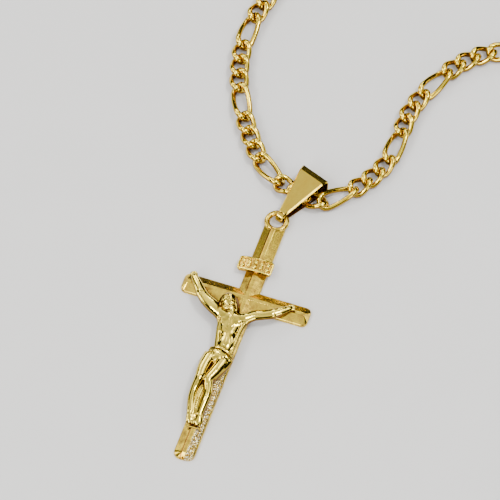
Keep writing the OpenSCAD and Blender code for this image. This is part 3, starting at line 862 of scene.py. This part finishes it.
legForms += [(0.07, (middle + (i - 2) * figureLook["toeStep"], -27.6, 1.98, 0.2),
              (middle + (i - 2) * figureLook["toeStep"], -28.15, 1.8, 0.18))
             for middle in figureLook["toeMiddles"] for i in range(5)]


# The same form on both sides of the head, the first one on the side of the sign
def bothSides(soft, *points, first=-1):
    return [(soft, *((sign * x, *rest) for x, *rest in points)) for sign in (first, -first)]


# In the head's own frame X is across it, Y goes from chin to crown and Z out of the face
headForms = [
    (0.2, (0, 0.45, -0.2, 1.38, 1.55, 1.15)),
    (0.2, (0, -0.4, 0.05, 1.05, 1.5, 0.95)),
    (0.2, (0, -1.3, 0.45, 0.55, 0.45, 0.45)),
    (0.14, (-0.8, 0.3, 0.72, 0.14), (0, 0.24, 0.98, 0.12), (0.8, 0.3, 0.72, 0.14)),
    *bothSides(-0.14, (0.48, 0, 1.06, 0.36, 0.2, 0.26)),
    *bothSides(0.03, (0.48, -0.03, 0.68, 0.25, 0.2, 0.24)),
    (0.1, (0, 0.2, 0.98, 0.1), (0, -0.55, 1.22, 0.14)),
    (0.06, (-0.15, -0.6, 1.08, 0.1), (0.15, -0.6, 1.08, 0.1)),
    *bothSides(0.2, (0.6, -0.5, 0.6, 0.35, 0.3, 0.25)),
    (-0.05, (-0.28, -1.02, 1.08, 0.06), (0, -1, 1.14, 0.06), (0.28, -1.02, 1.08, 0.06)),
    (0.05, (-0.12, -1.12, 0.95, 0.08), (0.12, -1.12, 0.95, 0.08)),
    *bothSides(0.06, (0, -0.82, 1.02, 0.09), (0.34, -0.94, 0.95, 0.11), (0.55, -1.3, 0.72, 0.1), first=1),
    (-0.05, (0, 1.95, 0.3, 0.07), (0, 1.45, 0.95, 0.07), (0, 1.05, 1.05, 0.06)),
]
for i in range(figureLook["hairStrands"]):
    far = i / (figureLook["hairStrands"] - 1)
    headForms += bothSides(
        0.03, (0.14, 1.75 - 0.6 * far, 0.3 + 0.5 * far, 0.15),
        (0.8 - 0.12 * far, 1.5 - 0.6 * far, 0.2 + 0.62 * far, 0.19),
        (1.36 - 0.22 * far, 0.65 - 0.1 * far, -0.1 + 0.6 * far, 0.2),
        (1.56 - 0.3 * far, -0.5, -0.15 + 0.5 * far, 0.2),
        (1.42 - 0.36 * far, -1.5, -0.1 + 0.5 * far, 0.2),
        (1.62 - 0.3 * far, -2.3, 0.0 + 0.3 * far, 0.18),
        (1.5 - 0.2 * far, -2.9, 0.0 + 0.2 * far, 0.1))
for i in range(figureLook["beardStrands"]):
    across = i / (figureLook["beardStrands"] - 1) * 2 - 1
    inwards = 1 - abs(across)
    headForms.append((
        0.05, (across * 0.95, -0.75 - 0.45 * inwards, 0.45 + 0.3 * inwards, 0.16),
        (across * 0.62, -1.5, 0.72 - 0.15 * abs(across), 0.19),
        (across * 0.22, -2.1 - 0.1 * inwards, 0.62, 0.13)))

# In a hand's frame Y goes from the wrist to the fingertips and X towards the thumb
handForms = [
    (0.15, (0, -0.1, 0, 0.38), (0, 0.35, 0, 0.36)),
    (0.12, (0, 0.45, 0, 0.42, 0.42, 0.26)),
    (0.06, (0.3, 0.15, 0.1, 0.15), (0.45, 0.6, 0.15, 0.12)),
]
handForms += [(0.04, (x, 0.65, 0.02, 0.15), (1.15 * x, 1.15 - 1.2 * x * x, -0.02, 0.13))
              for x in (-0.33, -0.11, 0.11, 0.33)]


# Distances to the body on a grid of voxels
class Sculpt:
    def __init__(self, look, voxel):
        self.voxel, self.low = voxel, np.array(look["low"])
        size = (np.array(look["high"]) - self.low) / voxel
        self.values = np.full(size.astype(int) + 1, look["far"], np.float32)

    def axes(self, first, last):
        spans = [(self.low[k] + self.voxel * np.arange(first[k], last[k])).astype(np.float32)
                 for k in range(3)]
        return np.meshgrid(*spans, indexing="ij", sparse=True)

    def shape(self, form, turn=np.eye(3), origin=np.zeros(3), size=1.0, flip=1, flat=1.0):
        sign, soft = math.copysign(1, form[0]), abs(form[0])
        rows = np.array(form[1:], float) * size
        rows[:, 0] *= flip
        if rows.shape[1] == 4 and len(rows) > 2:
            rows = self.smoothed(rows)
        reach = rows[:, 3:].max() + soft + 3 * self.voxel
        placed = rows[:, :3] @ turn.T + origin
        ends = enumerate((placed.min(0) - reach, placed.max(0) + reach))
        first, last = (np.clip(((end - self.low) / self.voxel).astype(int) + k, 0, self.values.shape)
                       for k, end in ends)
        away = [axis - origin[k] for k, axis in enumerate(self.axes(first, last))]
        places = [sum(turn[j, k] * away[j] for j in range(3)) for k in range(3)]
        places[2], rows[:, 2] = places[2] * flat, rows[:, 2] * flat
        other = self.ball(places, rows[0]) if rows.shape[1] == 6 else self.limb(places, rows)
        where = tuple(slice(a, b) for a, b in zip(first, last))
        here, other = sign * self.values[where], other.astype(np.float32)
        blend = np.maximum(soft - np.abs(here - other), 0) / soft
        self.values[where] = sign * (np.minimum(here, other) - blend * blend * soft / 4)

    # A limb's points joined by a smooth curve
    def smoothed(self, rows):
        line = np.vstack([2 * rows[0] - rows[1], rows, 2 * rows[-1] - rows[-2]])
        points = [(2 * b + (c - a) * t + (2 * a - 5 * b + 4 * c - d) * t ** 2
                   + (3 * b - a - 3 * c + d) * t ** 3) / 2
                  for a, b, c, d in zip(line, line[1:], line[2:], line[3:]) for t in np.arange(0, 1, 0.25)]
        points = np.array([*points, rows[-1]])
        points[:, 3] = np.maximum(points[:, 3], rows[:, 3].min())
        return points

    def ball(self, places, row):
        near, steep = (np.sqrt(sum(((place - middle) / half ** power) ** 2
                                   for place, middle, half in zip(places, row, row[3:]))) for power in (1, 2))
        return near * (near - 1) / np.maximum(steep, 1e-4)

    def limb(self, places, rows):
        nearest = np.inf
        for start, end in zip(rows, rows[1:]):
            step = end - start
            away = [place - start[k] for k, place in enumerate(places)]
            along = np.clip(sum(away[k] * step[k] for k in range(3)) / (step[:3] @ step[:3]), 0, 1)
            distance = np.sqrt(sum((away[k] - along * step[k]) ** 2 for k in range(3)))
            nearest = np.minimum(nearest, distance - start[3] - along * step[3])
        return nearest

    # The body ends where it lies on the ridges of the cross, and at its flat back
    def seat(self, look):
        x, y, z = self.axes((0, 0, 0), self.values.shape)
        high, flat, lowest = crossLook["ridgeHeight"], crossLook["ridgeFlat"] / 2, look["back"]
        fall = (high - crossLook["sideHeight"]) / (crossLook["beamWidth"] / 2 - flat)
        for across in (x, y):
            roof = high - fall * np.maximum(0, np.abs(across) - flat)
            lowest = np.maximum(lowest, roof + look["seat"])
        self.values = np.maximum(self.values, lowest - z).astype(np.float32)

    def at(self, points):
        cells = np.rint((points - self.low) / self.voxel).astype(int)
        return self.values[tuple(np.clip(cells, 0, np.array(self.values.shape) - 1).T)]


# Deletes the loose crumbs that sculpting leaves
def dropCrumbs(bm):
    crumbs = [vert for part in islands(bm) if len(part) < figureLook["fewestPoints"] for vert in part]
    bmesh.ops.delete(bm, geom=crumbs, context="VERTS")


# Painted shade on the hair around the face, in the head's own frame: outside the face, more so further out,
# and no lower than the shoulders. "faceHalf" is half the face's width and height, and every other pair
# says where the shade starts and over what length it grows.
hairShadeLook = {"faceHalf": (0.95, 1.3), "faceUp": 0.05, "near": (0.95, 0.25), "far": (1.3, 0.3), "farShare": 1.5,
            "up": (-0.7, 0.4), "inwards": (1.75, -0.15), "reach": 2.2, "behind": -1.0}


def paintedHairShade(across, along, out):
    look = hairShadeLook
    fromFace = np.hypot(across / look["faceHalf"][0], (along - look["faceUp"]) / look["faceHalf"][1])

    def rise(value, name):
        return np.clip((value - look[name][0]) / look[name][1], 0, 1)

    return ((rise(fromFace, "near") + look["farShare"] * rise(fromFace, "far")) * rise(along, "up")
            * rise(np.abs(across), "inwards") * (np.abs(along) < look["reach"]) * (out > look["behind"]))


def sculptFigure(headTurn):
    look = figureLook
    body = Sculpt(look, look["voxel"])
    for form in torsoForms + clothForms + legForms:
        body.shape(form)
    for form in armForms:
        body.shape(form, flat=look["armFlat"])
    for form in headForms:
        body.shape(form, headTurn, np.array(look["headMiddle"]), look["headSize"])
    for wrist, angle, flip in wrists:
        turn = np.array(Matrix.Rotation(math.radians(angle), 3, "Z"))
        for form in handForms:
            body.shape(form, turn, np.array(wrist), look["handSize"], flip)
    body.seat(look)
    return body


def makeFigure():
    look = figureLook
    tilt, bow, yaw = (Matrix.Rotation(math.radians(look[name]), 3, axis)
                      for name, axis in (("headTilt", "Z"), ("headBow", "X"), ("headYaw", "Y")))
    headTurn = np.array(tilt @ bow @ yaw)
    body = sculptFigure(headTurn)
    grid = openvdb.FloatGrid(look["far"])
    grid.copyFromArray(body.values)
    grid.transform = openvdb.createLinearTransform(body.voxel)
    points, triangles, quads = grid.convertToPolygons(0.0, 0.0)
    figure = newPiece("castFigure", points + body.low, [*triangles.tolist(), *quads.tolist()])
    figure.modifiers.new("fewerOnTheFlat", "DECIMATE").ratio = look["keepFaces"]
    settle(figure)
    edit(figure, dropCrumbs)
    points, normals = (np.zeros(len(figure.data.vertices) * 3) for _ in range(2))
    figure.data.vertices.foreach_get("co", points)
    figure.data.vertex_normals.foreach_get("vector", normals)
    points, normals = points.reshape(-1, 3) / mm, normals.reshape(-1, 3)
    # Painted shade: darker where the body closes in round a point
    paintedShade = sum(look["shadeShare"]
                 * np.clip(look["shadeFrom"] - body.at(points + normals * reach) / reach, 0, 1)
                 for reach in look["shadeReach"])
    # Painted shade on the hair around the face
    paintedShade += look["hairShade"] * paintedHairShade(*((points - look["headMiddle"]) @ headTurn / look["headSize"]).T)
    # Painted shadow below the step at the feet
    paintedShade += look["stepShadow"] * (points[:, 1] < look["stepShadowFrom"])
    # Painted shade on steep sides, added to the rest
    paintShadeOnSides(figure, look, paintedShade)
    figure.data.shade_smooth()
    dress(figure, golds["goldFigure"], "figure", "figure")


makeFigure()

# Floor, light and camera
stageLook = {"floorSize": 6.0, "floorColour": (0.66, 0.65, 0.63), "floorRoughness": 0.65, "cloudScale": 60.0,
             "cloudDetail": 4.0, "cloudShare": 0.03, "lightsAt": (0, 0.01, 0)}


def makeFloor():
    look = stageLook
    half = look["floorSize"] / 2 / mm
    floor = newPiece("floor", [(-half, -half, 0), (half, -half, 0), (half, half, 0), (-half, half, 0)],
                     [(0, 1, 2, 3)])
    material, tree, shader = newMaterial("paleFloor")
    cloud = tree.first("ShaderNodeTexNoise", {
        "Vector": tree.add("ShaderNodeTexCoord").outputs["Object"],
        "Scale": look["cloudScale"], "Detail": look["cloudDetail"]})
    darker, lighter = ([v * (1 + change) for v in look["floorColour"]]
                       for change in (-look["cloudShare"], look["cloudShare"]))
    tree.link(tree.mix(cloud, darker, lighter), shader["Base Color"])
    shader["Roughness"].default_value = look["floorRoughness"]
    floor.data.materials.append(material)


# Each soft light: azimuth and elevation of its direction from the pendant in degrees, distance and
# size in metres, and brightness. The fill light brightens the floor and isn't mirrored in the gold.
lightRows = {
    "front": (-14, 37, 0.8, 0.40, 9.0),
    "key": (106, 68.5, 0.6, 0.12, 50.0),
    "left": (-57.5, 49.5, 0.7, 0.12, 40.0),
    "leftTop": (229, 40, 0.8, 0.26, 8.0),
    "rightTop": (146, 54, 0.8, 0.24, 6.0),
    "leftRim": (-80, 17, 0.8, 0.40, 5.0),
    "rightRim": (57, 25, 0.8, 0.26, 8.0),
    "back": (199, 46, 0.8, 0.30, 1.05),
    "backRim": (191, 31, 0.8, 0.12, 14.0),
    "rightBack": (122.2, 41.8, 0.231, 0.038, 4.2),
    "rightEdge": (120, 9, 0.8, 0.16, 4.0),
    "leftBack": (246.5, 22.8, 0.231, 0.05, 2.2),
    "fill": (20, 75, 1.2, 1.4, 1.4),
}

# The sky's grey by height, as position and brightness
skyRows = ((0.62, 0.01), (0.80, 1.2), (0.90, 1.2), (0.95, 0.72))


def directionOf(azimuth, elevation):
    a, e = math.radians(azimuth), math.radians(elevation)
    return Vector((math.sin(a) * math.cos(e), -math.cos(a) * math.cos(e), math.sin(e)))


def makeLights():
    for name, (azimuth, elevation, distance, size, bright) in lightRows.items():
        light = bpy.data.lights.new(name, "AREA")
        light.shape = "DISK"
        light.size = size
        light.energy = bright * math.pi * math.pi * (size / 2) ** 2
        lamp = bpy.data.objects.new(name, light)
        lamp.visible_glossy = name != "fill"
        lamp.visible_camera = False
        toLamp = directionOf(azimuth, elevation)
        lamp.location = Vector(stageLook["lightsAt"]) + toLamp * distance
        lamp.rotation_euler = (-toLamp).to_track_quat("-Z", "Y").to_euler()
        bpy.context.scene.collection.objects.link(lamp)


def makeSky():
    world = bpy.data.worlds.new("studio")
    world.use_nodes = True
    tree = Tree(world.node_tree)
    way = tree.add("ShaderNodeTexCoord").outputs["Generated"]
    ramp = tree.add("ShaderNodeValToRGB", {"Fac": tree.add("ShaderNodeSeparateXYZ", {0: way}).outputs["Z"]})
    stops = ramp.color_ramp.elements
    while len(stops) < len(skyRows):
        stops.new(0.5)
    for stop, (position, grey) in zip(stops, skyRows):
        stop.position = position
        stop.color = (grey, grey, grey, 1)
    tree.link(ramp.outputs[0], world.node_tree.nodes["Background"].inputs["Color"])
    bpy.context.scene.world = world


# The photograph's frame: 500 pixels wide, with the crossing at this pixel and this scale
cameraLook = {"azimuth": 19.0, "elevation": 59.0, "lens": 1000.0, "clip": (0.01, 20.0), "frameWidth": 500.0,
              "pixelsPerMm": 5.55, "crossingPixel": (246.0, 301.2)}


def makeCamera():
    look = cameraLook
    data = bpy.data.cameras.new("camera")
    data.lens = look["lens"]
    data.clip_start, data.clip_end = look["clip"]
    camera = bpy.data.objects.new("camera", data)
    bpy.context.scene.collection.objects.link(camera)
    toCamera = directionOf(look["azimuth"], look["elevation"])
    right = Vector((0, 0, 1)).cross(toCamera).normalized()
    up = toCamera.cross(right)
    middle = look["frameWidth"] / 2
    across = (middle - look["crossingPixel"][0]) / look["pixelsPerMm"]
    above = (look["crossingPixel"][1] - middle) / look["pixelsPerMm"]
    shownWidth = look["frameWidth"] / look["pixelsPerMm"] * mm
    away = shownWidth * data.lens / data.sensor_width
    camera.location = (right * across + up * above) * mm + toCamera * away
    camera.rotation_euler = (-toCamera).to_track_quat("-Z", "Y").to_euler()
    bpy.context.scene.camera = camera


makeFloor()
makeLights()
makeSky()
makeCamera()
print("stage: floor, lights and camera")
